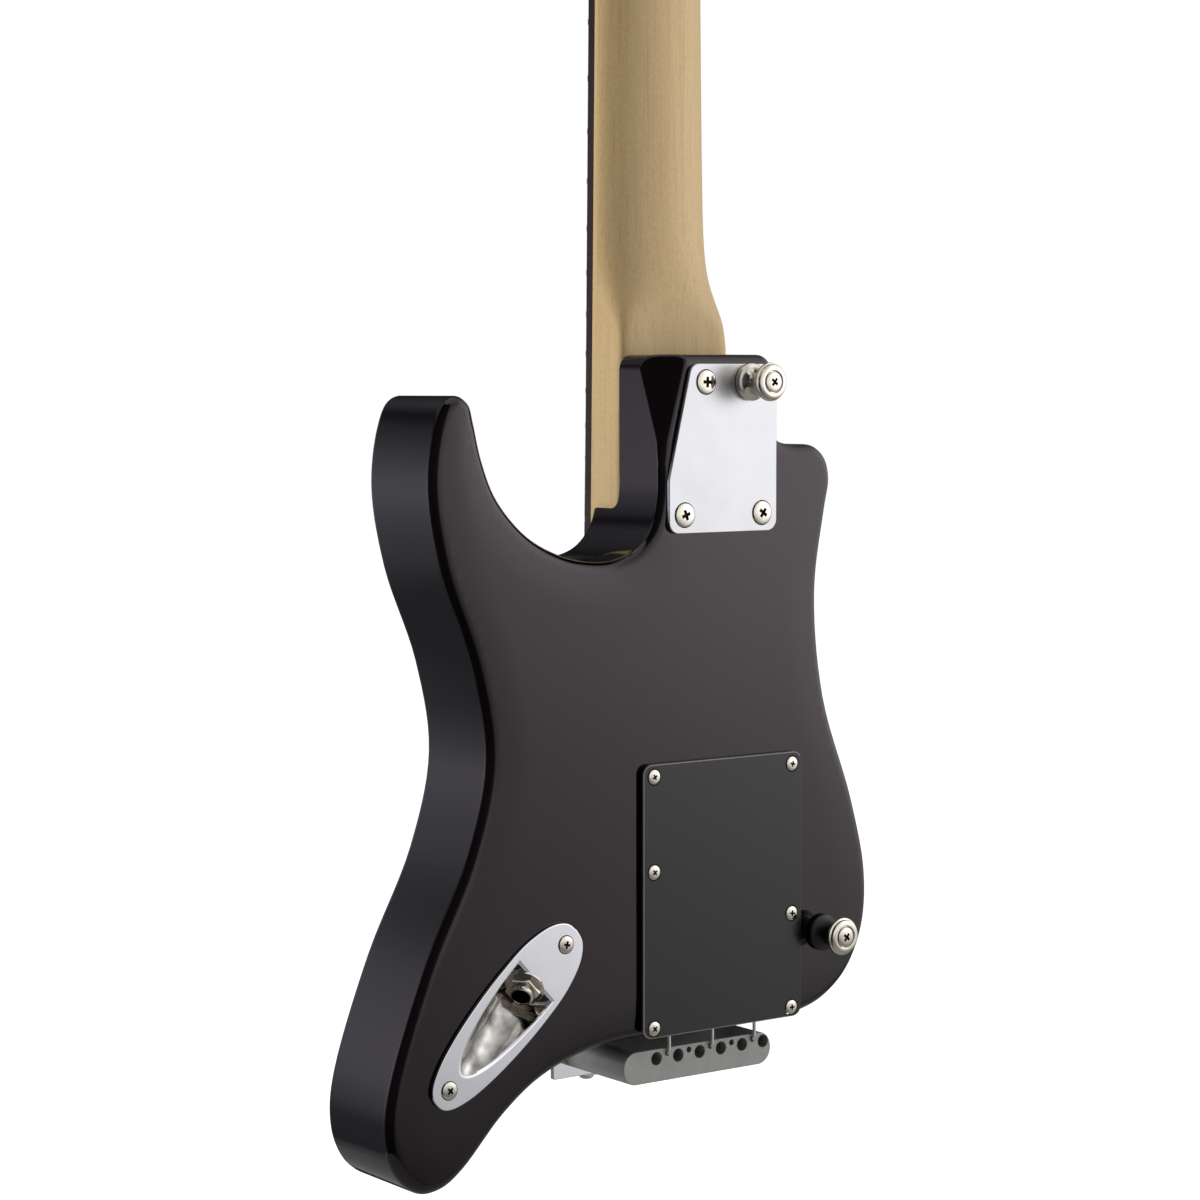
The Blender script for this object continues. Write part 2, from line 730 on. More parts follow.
# What was built facing the back faces the front after this
FLIP = rotation(math.pi, "X")


def front_screws(places, y, radius, rise, depth=0.0):
    mirrored = [(x, -z) for x, z in places]
    return placed(screws(mirrored, -y, radius, rise, 0.7, depth), FLIP)


# Body

PICKUP_HALVES = (34.75, 8.9)
NECK_BORE = 2.4
BUTTON_BORE = 2.1

# Floors and sides of the routs, and the shelves on both sides of the neck's heel
CONTROL_ROUT = FRONT + 15
PICKUP_ROUT = FRONT + 17
SPRING_ROUT = ((-28.5, BACK - 17, -48.2), (28.5, BACK + PAST, 92))
POT_ROUT = 15.3
SELECTOR_ROUT = (-8, 8, -22.5, 22.5, 3)
JACK_ROUT = -25
TREBLE_SHELF = HEEL_TOP - 59
BASS_SHELF = HEEL_TOP - 32


def body_outline():
    steps = 7
    corner = 6
    heel = (
        arc((-HEEL_BASS + corner, HEEL_TOP - corner), corner, 180, 90, 8)
        + arc((HEEL_TREBLE - corner, HEEL_TOP - corner), corner, 90, 0, 8)
    )
    return smooth_run(TREBLE_OUTLINE, steps) + smooth_run(BASS_OUTLINE, steps) + heel


def pickup_outline(grow, steps=8):
    half_length, half_width = (half + grow for half in PICKUP_HALVES)
    return box_outline(-half_length, half_length, -half_width, half_width, half_width - SEAT, steps)


def at_pickup(bm, z, tilt):
    return placed(bm, shift(0, 0, z) @ rotation(tilt))


def at_switch(bm):
    return placed(bm, shift(SWITCH[0], 0, SWITCH[1]) @ rotation(SWITCH_TURN))


def at_jack(bm):
    return placed(bm, shift(*JACK_PLACE) @ rotation(-JACK_TURN))


def jack_outline(inset=0, steps=6):
    treble = [
        (across * (JACK_HALF_WIDTH - inset), along * (JACK_LENGTH - 2 * inset))
        for across, along in JACK_OUTLINE
    ]
    bass = [(-x, z) for x, z in reversed(treble[1:])]
    return smooth_run([*treble, *bass, treble[0]], steps)[1:]


def neck_half_width(z):
    return NUT_HALF + NECK_FLARE * (SCALE - z) / (SCALE - LAST_FRET)


def heel_plane():
    """A point of the plane that takes off the heel's treble corner, and its normal."""
    down, through, across = HEEL_BEVEL
    foot = Vector((HEEL_TREBLE, BACK, HEEL_TOP - down))
    side = Vector((HEEL_TREBLE, BACK - through, HEEL_TOP))
    rear = Vector((HEEL_TREBLE - across, BACK, HEEL_TOP))
    normal = (side - foot).cross(rear - foot).normalized()
    return foot, normal if normal.x > 0 else -normal


def heel_cutter():
    foot, normal = heel_plane()
    middle = foot + Vector((-4, -7, 22))
    middle -= normal * (middle - foot).dot(normal)
    lean = normal.to_track_quat("Z", "Y").to_matrix().to_4x4()
    return placed(block((-32, -32, 0), (32, 32, 16)), Matrix.Translation(middle) @ lean)


def ease_heel(bm, width):
    """Rounds the edges of the heel's bevel."""
    foot, normal = heel_plane()
    bevelled = {
        f for f in bm.faces
        if f.normal.dot(normal) > 0.9999 and abs((f.calc_center_median() - foot).dot(normal)) < 0.01
    }
    edges = [e for f in bevelled for e in f.edges if not all(g in bevelled for g in e.link_faces)]
    round_edges(bm, edges, width, 4)


def cut_back(bm, axis, first, count):
    """Cuts the faces of the back by planes 3 mm apart, square to an axis."""
    normal = Vector([float(i == axis) for i in range(3)])
    for step in range(count):
        faces = [f for f in bm.faces if f.calc_center_median().y > BACK - 0.01]
        edges = {e for f in faces for e in f.edges}
        verts = {v for f in faces for v in f.verts}
        bmesh.ops.bisect_plane(
            bm,
            geom=[*verts, *edges, *faces],
            dist=TOUCH,
            plane_co=normal * (first + 3 * step),
            plane_no=normal,
        )


def roll_back(bm, rim, drop=1.0, width=18):
    """Lets the back fall away softly towards its edge, except round the heel."""
    heel, level_to, fades_over = Vector((0, 0, 232)), 50, 25
    cut_back(bm, 0, -75, 76)
    cut_back(bm, 2, -47, 96)
    edge = smooth_run(TREBLE_OUTLINE, 24) + smooth_run(BASS_OUTLINE, 24)
    tree = kdtree.KDTree(len(edge))
    for i, (x, z) in enumerate(edge):
        tree.insert((x, 0, z), i)
    tree.balance()
    for vert in bm.verts:
        level = Vector((vert.co.x, 0, vert.co.z))
        off = tree.find(level)[2]
        if off < width and vert.co.y >= BACK - rim - 0.01:
            fade = min(max(((heel - level).length - level_to) / fades_over, 0), 1)
            vert.co.y -= fade * drop * (1 - off / width) ** 2


def shelf_cutter(top):
    """Cuts the treble side away round the neck's heel, down to a shelf with a soft edge and corner."""
    soft = 4
    edge = arc((FRONT + soft, TREBLE_SHELF - soft), soft, 180, 90, 6)
    corner = arc((POCKET_FLOOR - soft, TREBLE_SHELF + soft), soft, -90, 0, 6)
    outside = FRONT - PAST
    outline = [(outside, TREBLE_SHELF - soft), *edge, *corner, (POCKET_FLOOR, top), (outside, top)]
    return placed(slab(outline, -34, 0), rotation(math.pi / 2, "Z"))


def body_shape():
    sizes = bpy.context.scene.guitar_sizes
    rim = sizes.rim / MM
    outside, behind = FRONT - PAST, BACK + PAST
    foot, top = NECK_END - SEAT, HEEL_TOP + PAST
    low, high = neck_half_width(foot) + SEAT, neck_half_width(top) + SEAT
    cutters = [
        heel_cutter(),
        slab(((-low, foot), (low, foot), (high, top), (-high, top)), outside, POCKET_FLOOR),
        shelf_cutter(top),
        block((-34, outside, BASS_SHELF), (0, POCKET_FLOOR, top)),
        block(*SPRING_ROUT),
        at_switch(slab(box_outline(*SELECTOR_ROUT), outside, CONTROL_ROUT)),
        *(rod_y(*pot, outside, CONTROL_ROUT, POT_ROUT, 48) for pot in (VOLUME, TONE)),
        at_jack(slab(jack_outline(1.7, 3), JACK_ROUT, PAST)),
        rod_y(*LOWER_BUTTON, BACK - 26.3, behind, BUTTON_BORE, 20),
    ]
    for _, z, tilt in PICKUPS:
        cutters.append(at_pickup(slab(pickup_outline(3.5), outside, PICKUP_ROUT), z, tilt))
    cutters += [rod_y(x, z, outside, behind, NECK_BORE, 20) for x, z in (*NECK_SCREWS, HEEL_BUTTON)]
    bm = combined(rounded_slab(body_outline(), FRONT, BACK, rim, 6), cutters)
    ease_heel(bm, sizes.heel_ease / MM)
    roll_back(bm, rim)
    return bm


class GUITAR_OT_body(bpy.types.Operator):
    """Builds the lacquered body with its routs and sculpted heel"""

    bl_idname = "guitar.body"
    bl_label = "Body"

    def execute(self, context):
        finish(body_shape(), "lacquered_body", "lacquer", "body")
        return {"FINISHED"}


# Neck

HEEL_RAMP = (
    # share of the ramp's length, share of the depth lost, squareness
    (0, 0, 14), (0.11, 0.1, 9), (0.24, 0.36, 4), (0.36, 0.68, 2.6), (0.49, 0.88, 2.15),
    (0.65, 0.97, 1.98), (1, 1, 1.9),
)
HEEL_RAMP_LENGTH = 76
HEAD_RAMP = (
    # share of the way to the head, drop of the top, share of the head's depth, squareness
    (0, 0, 0, 2.1), (0.25, 0.1, 0.25, 3), (0.55, 0.5, 0.6, 5), (0.8, 0.9, 0.9, 8), (1, 1, 1, 10),
)
HEAD_RAMP_LENGTH = 17
SADDLE_SPREAD = 52.8
NUT_SPREAD = 35
STRING_RADII = (0.13, 0.17, 0.22, 0.33, 0.46, 0.58)
POST_GRIP = 2.7
FIRST_POST = 686
POST_STEP = 25.5
TUNER_BORE = 5.1
TRUSS_BORES = (
    # far end and radius of the rod's bore and of its wide mouth
    (634, 2.7), (NECK_END + 7.3, 4.3),
)
DOT_FRETS = (3, 5, 7, 9, 12, 15, 17, 19, 21)


def string_x(index, z):
    spread = SADDLE_SPREAD + (NUT_SPREAD - SADDLE_SPREAD) * z / SCALE
    return (2.5 - index) * spread / 5


def post_place(index):
    z = FIRST_POST + (5 - index) * POST_STEP
    return string_x(index, z) - POST_GRIP - STRING_RADII[index], z


POSTS = tuple(post_place(i) for i in range(STRINGS))
ROW_ANGLE = math.atan2(POSTS[0][0] - POSTS[5][0], POSTS[0][1] - POSTS[5][1])


def neck_ring(z, half, top, depth, power, points=40):
    """Half of a squared ellipse below a flat top."""
    ring = []
    for i in range(points):
        angle = math.pi * i / (points - 1)
        across = math.copysign(abs(math.cos(angle)) ** (2 / power), math.cos(angle))
        down = abs(math.sin(angle)) ** (2 / power)
        ring.append((half * across, top + depth * down, z))
    return ring


def fret_height(fret):
    return SCALE * 2 ** (-fret / 12)


def shaft_depth(z):
    """Depth below the fretboard: 14.8 mm at the twelfth fret and 13.3 mm at the first."""
    return 14.8 - 1.5 * (z - fret_height(12)) / (fret_height(1) - fret_height(12))


def neck_shape():
    top = BOARD_BOTTOM
    heel_depth = HEEL_BACK - top
    rings = [neck_ring(NECK_END, neck_half_width(NECK_END), top, heel_depth, HEEL_RAMP[0][2])]
    ramp = HEEL_TOP + 3
    for along, lost, power in smooth_run(HEEL_RAMP, 6):
        z = ramp + along * HEEL_RAMP_LENGTH
        depth = heel_depth + (shaft_depth(z) - heel_depth) * lost
        rings.append(neck_ring(z, neck_half_width(z), top, depth, power))
    shaft = ramp + HEEL_RAMP_LENGTH
    steps = 12
    for i in range(1, steps):
        z = shaft + (NUT_TOP - shaft) * i / steps
        rings.append(neck_ring(z, neck_half_width(z), top, shaft_depth(z), HEEL_RAMP[-1][2]))
    nut_back = top + shaft_depth(NUT_TOP)
    for along, drop, deepen, power in HEAD_RAMP:
        ring_top = top + (HEAD_FACE + 0.6 - top) * drop
        back = nut_back + (HEAD_BACK - 0.6 - nut_back) * deepen
        z = NUT_TOP + along * HEAD_RAMP_LENGTH
        rings.append(neck_ring(z, NUT_HALF, ring_top, back - ring_top, power))
    head = rounded_slab(smooth_run(HEAD_OUTLINE, 8), HEAD_FACE, HEAD_BACK, 2, 4)
    cutters = [rod_y(x, z, HEAD_FACE - PAST, HEAD_BACK + PAST, TUNER_BORE) for x, z in POSTS]
    for x, z in (*NECK_SCREWS, HEEL_BUTTON):
        cutters.append(rod_y(x, z, BACK - 38.3, HEEL_BACK + PAST, NECK_BORE, 16))
    for end, radius in TRUSS_BORES:
        cutters.append(rod((0, TRUSS_ROD, NECK_END - PAST), (0, TRUSS_ROD, end), radius, 16))
    return combined(combined(loft(rings), [head], "UNION"), cutters)


def crown(x, rise):
    """Height of the fretboard's crowned face, or of what stands above it."""
    return BOARD_TOP - rise + CROWN_RADIUS - math.sqrt(CROWN_RADIUS**2 - x**2)


def board_shape():
    ease = 0.5
    steps = 16
    foot = BOARD_BOTTOM - SEAT
    rings = []
    for z in (BOARD_END, SCALE - SEAT):
        half = neck_half_width(z)
        edge, side = crown(half, 0), crown(half, -ease)
        across = [half - 2 * half * i / steps for i in range(1, steps)]
        face = [(half - ease, edge, z), *((x, crown(x, 0), z) for x in across), (-half + ease, edge, z)]
        rings.append([*face, (-half, side, z), (-half, foot, z), (half, foot, z), (half, side, z)])
    return loft(rings)


def fret_wire(fret):
    """A crowned wire spun along the board's radius."""
    z = fret_height(fret)
    half = neck_half_width(z) - SEAT
    sweep = 2 * math.asin(half / CROWN_RADIUS)
    centre = Vector((0, BOARD_TOP + CROWN_RADIUS, z))
    bm = bmesh.new()
    ring = bmesh.ops.create_circle(bm, segments=12, radius=1, cap_ends=False)["verts"]
    bmesh.ops.scale(bm, vec=(1.1, 1.2, 1), verts=ring)
    placed(bm, shift(0, BOARD_TOP, z) @ rotation(math.pi / 2) @ rotation(math.pi / 2, "Z"))
    bmesh.ops.rotate(bm, cent=centre, matrix=Matrix.Rotation(-sweep / 2, 3, "Z"), verts=ring)
    bmesh.ops.spin(bm, geom=bm.verts[:] + bm.edges[:], cent=centre, axis=(0, 0, 1), angle=sweep, steps=40)
    bmesh.ops.holes_fill(bm, edges=bm.edges, sides=12)
    for vert in bm.verts:
        x = vert.co.x
        vert.co.y = max(vert.co.y, crown(x, 0.1 + 0.7 * (half - min(abs(x), half))))
    return bm


class GUITAR_OT_neck(bpy.types.Operator):
    """Builds the neck, the fretboard, its frets and its dots"""

    bl_idname = "guitar.neck"
    bl_label = "Neck and fretboard"

    def execute(self, context):
        finish(neck_shape(), "maple_neck", "maple", "neck", sharp=40)
        finish(board_shape(), "rosewood_board", "rosewood", "fretboard")
        wires = [fret_wire(fret) for fret in range(1, FRETS + 1)]
        finish(gathered(wires), "fret_wires", "fret", "fretboard")
        dots = []
        for fret in DOT_FRETS:
            z = (fret_height(fret) + fret_height(fret - 1)) / 2
            for x in (-10, 10) if fret == 12 else (0,):
                dots.append(rod_y(x, z, crown(x, 0.04), crown(x, -1.5), 3.2))
        finish(gathered(dots), "board_dots", "pearl", "fretboard")
        dress("bone", "nut", edge=0.3)
        dress("steel", "truss_rod")
        return {"FINISHED"}


# Rear cover and neck plate

COVER_OUTLINE = (-39, 39, -3.2, 101.8, 4, 8)
COVER_FLOOR = -2.2
COVER_BORE = 3.25
JOINT_CORNERS = ((-26.2, 188.6), (26.2, 188.6), (26.2, 209), (15.4, 252.95), (-26.2, 252.95))
JOINT_BORE = 4.9


class GUITAR_OT_rear_cover(bpy.types.Operator):
    """Builds the spring cover and its six screws"""

    bl_idname = "guitar.rear_cover"
    bl_label = "Rear cover"

    def execute(self, context):
        sheet = slab(box_outline(*COVER_OUTLINE), COVER_FLOOR, 0)
        round_edges(sheet, edges_at(sheet, 0), 0.5, 2)
        for face in sheet.faces:
            face.material_index = int(0.1 < face.normal.y < 0.99 and face.normal.x > -0.3)
        sheet = combined(sheet, [rod_y(x, z, -8, PAST, COVER_BORE) for x, z in COVER_SCREWS])
        finish(sheet, "cover_sheet", "cover", "back_cover", marked=["cut_edge"])
        heads = screws(COVER_SCREWS, -0.25, radius=2.8, rise=0.85, spin=0.5)
        finish(heads, "cover_screws", "nickel", marked=["recess"])
        return {"FINISHED"}


class GUITAR_OT_neck_plate(bpy.types.Operator):
    """Builds the plate over the neck joint and its three screws"""

    bl_idname = "guitar.neck_plate"
    bl_label = "Neck plate"

    def execute(self, context):
        plate = rounded_slab(rounded(JOINT_CORNERS, 4.5, 8), BACK + SEAT, JOINT_FACE, 0.35)
        holes = [rod_y(x, z, BACK - PAST, JOINT_FACE + PAST, JOINT_BORE, 40) for x, z in NECK_SCREWS]
        plate = shade_holes(combined(plate, holes), NECK_SCREWS, JOINT_BORE)
        finish(plate, "joint_plate", "satin_chrome", "neck_plate", marked=["recess"])
        heads = screws(NECK_SCREWS, JOINT_FACE - 0.15, radius=4.55, rise=1.15, spin=0.35, depth=36)
        finish(heads, "joint_screws", "nickel", "neck_plate", marked=["recess"])
        return {"FINISHED"}


# Strap buttons

BUTTON_PROFILE = (
    # radius and height: flange, waist, grooved head
    (0, 0), (6.9, 0), (7.2, 0.3), (7.2, 1.5), (6.9, 1.9), (6.2, 2.2), (5.2, 2.9), (4.4, 4.2),
    (4.0, 6), (4.0, 8.4), (4.4, 9.8), (5.4, 10.7), (6.6, 11.1), (7.2, 11.5), (7.4, 12.1),
    (7.3, 12.7), (6.9, 12.95), (6.7, 13.05), (6.75, 13.4), (6.5, 14.0), (6.0, 14.35), (5.3, 14.5),
    (4.6, 14.5), (4.3, 14.3), (4.2, 13.2), (0, 13.2),
)


def strap_button(place, foot, depth, marked_to=0):
    """A turned button with its screw, marked from its foot up to a height."""
    x, z = place
    knob = turned(BUTTON_PROFILE, 64)
    for face in knob.faces:
        face.material_index = int(face.calc_center_median().y < marked_to)
    placed(knob, shift(x, foot, z))
    head = screws([place], foot + 13.95, radius=3.9, rise=1.05, spin=0.9)
    shank = rod_y(x, z, foot - depth, foot + 0.5, 2.0, 20)
    return gathered([knob, head, shank])


class GUITAR_OT_strap_buttons(bpy.types.Operator):
    """Builds both strap buttons with their screws"""

    bl_idname = "guitar.strap_buttons"
    bl_label = "Strap buttons"

    def execute(self, context):
        heel = strap_button(HEEL_BUTTON, JOINT_FACE + SEAT, 36)
        finish(heel, "heel_button", "nickel", "heel_strap_button", marked=["recess"])
        # The photo shows this one's foot and waist black below a nickel head
        lower = strap_button(LOWER_BUTTON, BACK + SEAT, 26, 10)
        finish(lower, "waist_button", "nickel", "lower_strap_button", marked=["blacked"])
        return {"FINISHED"}


# Jack plate

def cup(radius, behind):
    """The leaning cylinder on the plug's side of the end wall."""
    bm = rod(CUP_TOP - CUP_LEAN * JACK_LENGTH, CUP_TOP + CUP_LEAN * JACK_LENGTH, radius, 96)
    cut = bmesh.ops.bisect_plane(
        bm,
        geom=[*bm.verts, *bm.edges, *bm.faces],
        plane_co=CUP_TOP - WALL_AXIS * behind,
        plane_no=WALL_AXIS,
        clear_inner=True,
    )
    rim = [e for e in cut["geom_cut"] if isinstance(e, bmesh.types.BMEdge)]
    bmesh.ops.contextual_create(bm, geom=rim)
    bmesh.ops.recalc_face_normals(bm, faces=bm.faces)
    return bm


def along_jack(bm):
    """Stands a shape that was turned about +Y on the cup's end wall, +Y towards the plug."""
    lean = WALL_AXIS.to_track_quat("Y", "Z").to_matrix().to_4x4()
    return at_jack(placed(bm, Matrix.Translation(WALL_MIDDLE) @ lean))


def jack_plate_shape():
    """The plate with its cup, whose drawn wall takes the second mark and whose screw holes the first."""
    plate = rounded_slab(jack_outline(), SEAT, JACK_FACE, 0.4)
    below = block((-40, -40, -90), (40, JACK_FACE - 0.2, 90))
    shell = combined(cup(CUP_RADIUS + 1, 1), [below], "INTERSECT")
    bore = 3.6
    cutters = [cup(CUP_RADIUS, 0), rod(WALL_MIDDLE - WALL_AXIS * 6, WALL_MIDDLE + WALL_AXIS * 6, 4.8)]
    cutters += [rod_y(x, z, -PAST, PAST, bore) for x, z in JACK_SCREWS]
    whole = combined(combined(plate, [shell], "UNION"), cutters)
    rim = edges_at(whole, JACK_FACE, lambda x, z: abs(x) < (11.1 if z > -24 else 8) and -29 < z < 20)
    foot = [
        e for e in whole.edges
        if e not in rim and all(
            abs((v.co - CUP_TOP).dot(WALL_AXIS)) < LEVEL and (v.co - WALL_MIDDLE).length > 6
            for v in e.verts
        )
    ]
    round_edges(whole, rim + foot, 0.8, 3)
    for face in whole.faces:
        arms = [v.co - CUP_TOP for v in face.verts]
        away = [(arm - CUP_LEAN * arm.dot(CUP_LEAN)).length for arm in arms]
        if all(abs(length - CUP_RADIUS) < 0.05 for length in away):
            face.material_index = 2
    return shade_holes(whole, JACK_SCREWS, bore)


SOCKET_PROFILE = (
    # radius and height from the end wall: bore, barrel with its turned lip, down to the wall
    (3.3, -17), (3.3, 4.9), (3.6, 5.5), (4.2, 5.5), (4.5, 5.1), (4.5, 3.1), (4.3, 2.9), (4.5, 2.7),
    (4.5, -6), (7.2, -7), (7.2, -22), (0, -22), (0, -17),
)
JACK_WASHER = ((4.7, 0.1), (7.9, 0.1), (7.9, 0.8), (7.6, 1.0), (4.7, 1.0), (4.7, 0.1))


class GUITAR_OT_jack_plate(bpy.types.Operator):
    """Builds the boat shaped plate, its screws and the socket"""

    bl_idname = "guitar.jack_plate"
    bl_label = "Jack plate"

    def execute(self, context):
        plate = at_jack(jack_plate_shape())
        finish(plate, "boat_plate", "chrome", "jack_plate", marked=["recess", "drawn_cup"])
        finish(along_jack(turned(SOCKET_PROFILE)), "socket_barrel", "nickel", "output_jack")
        nut = slab(arc((0, 0), 6.6, 0, 300, 5), 1.0, 3.2)
        nut = combined(round_edges(nut, edges_at(nut, 3.2), 0.4, 2), [rod_y(0, 0, -6, 9, 4.6)])
        fittings = gathered([turned(JACK_WASHER), nut])
        finish(along_jack(fittings), "socket_nut", "nickel", "output_jack")
        heads = screws(JACK_SCREWS, JACK_FACE - 0.15, radius=3.3, rise=1.0, spin=0.6, depth=14)
        finish(at_jack(heads), "boat_plate_screws", "nickel", marked=["recess"])
        return {"FINISHED"}


# Tremolo

PLATE_BACK = FRONT - SEAT
PLATE_FRONT = PLATE_BACK - 2
PLATE_SIDES = (-34.5, 47.4)
PLATE_HINGE = 12
PLATE_REAR = -27.2
FLANGE = 1.7
FLANGE_TOP = PLATE_FRONT - 9.5
INTONATION = PLATE_FRONT - 5
PIVOT_HEIGHT = 7.6
STRING_HOLE = -13.4
SPRING_HOLE = -11.9
BLOCK_REAR = -8.4
BLOCK_SIDES = (-30.3, 42.2)
BLOCK_HEIGHTS = (-22.5, -9.7)
SADDLE_REAR = -18.6
ARM_BORE = 2.8
ARM_PLACE = (35.8, 0, -16.1)
ARM_TURN = 0.17
ARM_PATH = (
    # out from the body and up the neck, from inside the block
    (-27, 0), (-45, 0), (-64.3, 0), (-70.9, 3.1), (-75.1, 13), (-76.3, 26), (-80.5, 74), (-83.3, 148),
)


def tremolo_plate_shape():
    outline = box_outline(*PLATE_SIDES, PLATE_REAR + 1, PLATE_HINGE, 0.8)
    plate = rounded_slab(outline, PLATE_FRONT, PLATE_BACK, 0.25)
    foot = PLATE_BACK - 0.1
    flange = block((-31, FLANGE_TOP, PLATE_REAR), (32, foot, PLATE_REAR + FLANGE))
    round_edges(flange, edges_at(flange, foot, lambda x, z: z < PLATE_REAR + 0.1), 1.5, 5)
    round_edges(flange, edges_at(flange, FLANGE_TOP), 0.5, 3)
    cutters = [rod_y(ARM_PLACE[0], ARM_PLACE[2], -60, -40, ARM_BORE)]
    for i in range(STRINGS):
        x = string_x(i, 0)
        cutters.append(rod_y(x, PIVOT_HEIGHT, -60, -40, 2.3, 24))
        cutters.append(rod_y(x, STRING_HOLE, -52, -40, 2, 24))
        start, end = (x, INTONATION, PLATE_REAR - PAST), (x, INTONATION, PLATE_REAR + PAST)
        cutters.append(rod(start, end, 1.7, 20))
    return combined(combined(plate, [flange], "UNION"), cutters)


def tremolo_block_shape():
    outline = box_outline(*BLOCK_SIDES, *BLOCK_HEIGHTS, 6.1, 12)
    cutters = [rod_y(ARM_PLACE[0], ARM_PLACE[2], FRONT - PAST, FRONT + 20.3, ARM_BORE)]
    for i in range(STRINGS):
        x = string_x(i, 0)
        cutters.append(rod_y(x, STRING_HOLE, BLOCK_REAR - 20, BLOCK_REAR + PAST, 2.6, 36))
        cutters.append(rod_y(x, STRING_HOLE, FRONT - PAST, BLOCK_REAR - 14, 1.2, 12))
    for i in range(STRINGS - 1):
        x = (string_x(i, 0) + string_x(i + 1, 0)) / 2
        cutters.append(rod_y(x, SPRING_HOLE, BLOCK_REAR - 8, BLOCK_REAR + PAST, 1.2, 20))
    return combined(rounded_slab(outline, FRONT, BLOCK_REAR, 0.45), cutters)


def coil(radius, turns, start, end, steps=20):
    """Points of a helix about the Z axis."""
    points = []
    for i in range(turns * steps + 1):
        angle = 2 * math.pi * i / steps
        height = start + (end - start) * i / (turns * steps)
        points.append(Vector((radius * math.sin(angle), radius * math.cos(angle), height)))
    return points


def intonation_screws():
    """Screws through the flange with a spring between it and each saddle."""
    head = placed(screw_head(2.9, 2.2), rotation(-math.pi / 2, "X"))
    spring = coil(1.9, 6, PLATE_REAR + FLANGE + 0.3, SADDLE_REAR - 0.4, 12)
    shapes = []
    for i in range(STRINGS):
        x = string_x(i, 0)
        matrix = shift(x, INTONATION, PLATE_REAR - 0.4) @ rotation(i, "Z")
        shapes.append(placed(head.copy(), matrix))
        shapes.append(rod((x, INTONATION, PLATE_REAR - 1), (x, INTONATION, SADDLE_REAR + 6), 1.25, 16))
        shapes.append(placed(wire(spring, 0.28, 8), shift(x, INTONATION, 0)))
    head.free()
    return gathered(shapes)


def arm_shapes():
    """The bent bar and the tip on its end."""
    path = [Vector((0, *point)) for point in smooth_run(ARM_PATH, 8)]
    end = path[-1]
    out = (end - path[-2]).normalized()
    tip = rod(end - out * 18.7, end + out * 3.3, 4.4, 40, 3.5)
    round_edges(tip, [e for e in tip.edges if e.calc_face_angle(0) > 1], 1.2, 5)
    tip = combined(tip, [rod(end - out * 25, end + out * 0.3, 2.8, 24)])
    return [placed(bm, shift(*ARM_PLACE) @ rotation(ARM_TURN)) for bm in (wire(path, 2.5, 24), tip)]


class GUITAR_OT_tremolo(bpy.types.Operator):
    """Builds the tremolo's plate, block, screws and arm"""

    bl_idname = "guitar.tremolo"
    bl_label = "Tremolo"

    def execute(self, context):
        finish(tremolo_plate_shape(), "bridge_plate", "chrome", "tremolo_plate", body="tremolo")
        finish(tremolo_block_shape(), "inertia_block", "zinc", "tremolo_block", body="tremolo")
        finish(intonation_screws(), "intonation_screws", "nickel", body="tremolo", marked=["recess"])
        places = [(string_x(i, 0), PIVOT_HEIGHT) for i in range(STRINGS)]
        pivots = front_screws(places, PLATE_FRONT - 0.3, radius=3.1, rise=1.2, depth=14)
        finish(pivots, "pivot_screws", "nickel", marked=["recess"])
        arm, tip = arm_shapes()
        finish(arm, "bent_arm", "chrome", "tremolo_arm", body="tremolo_arm")
        finish(tip, "arm_tip", "plastic", "tremolo_arm_tip", body="tremolo_arm")
        dress("nickel", *(f"saddle_{i + 1}" for i in range(STRINGS)))
        return {"FINISHED"}


# Springs

CLAW_HEIGHT = 74
SPRINGS = 3
SPRING_AXIS = BLOCK_REAR - 1.4
SPRING_RADIUS = 3.7
SPRING_WIRE = 0.7


def spring_points(turns):
    """A hook over the claw, the coil and a hook down into the block."""
    over = CLAW_HEIGHT + 3
    coil_top, coil_foot = CLAW_HEIGHT - 6, 5
    hook = BLOCK_REAR + SEAT + SPRING_WIRE
    head = [
        (0, SPRING_AXIS + 0.8 * SPRING_RADIUS, over), (0, SPRING_AXIS + 1.6, over + 0.7),
        (0, SPRING_AXIS, over + 0.4), (0, SPRING_AXIS, CLAW_HEIGHT - 2),
    ]
    start = Vector((0, SPRING_AXIS, 0))
    middle = [start + p for p in coil(SPRING_RADIUS, turns, coil_top, coil_foot)]
    foot = [
        (0, hook, coil_foot - 3), (0, hook, SPRING_HOLE + 1.4), (0, hook - 0.3, SPRING_HOLE + 0.4),
        (0, hook - 1.1, SPRING_HOLE), (0, BLOCK_REAR - 4, SPRING_HOLE),
    ]
    return [*smooth_run(head, 4), *middle, *smooth_run(foot, 4)]


class GUITAR_OT_springs(bpy.types.Operator):
    """Builds the tremolo springs and dresses their claw"""

    bl_idname = "guitar.springs"
    bl_label = "Springs"

    def execute(self, context):
        points = spring_points(context.scene.guitar_sizes.spring_turns)
        pitch = 2 * (string_x(0, 0) - string_x(1, 0))
        for i in range(SPRINGS):
            spring = placed(wire(points, SPRING_WIRE), shift(pitch * (1 - i), 0, 0))
            finish(spring, f"coil_spring_{i + 1}", "music_wire", f"tremolo_spring_{i + 1}")
        dress("steel", "spring_claw")
        return {"FINISHED"}


# Front: guard, pickups, knobs and selector

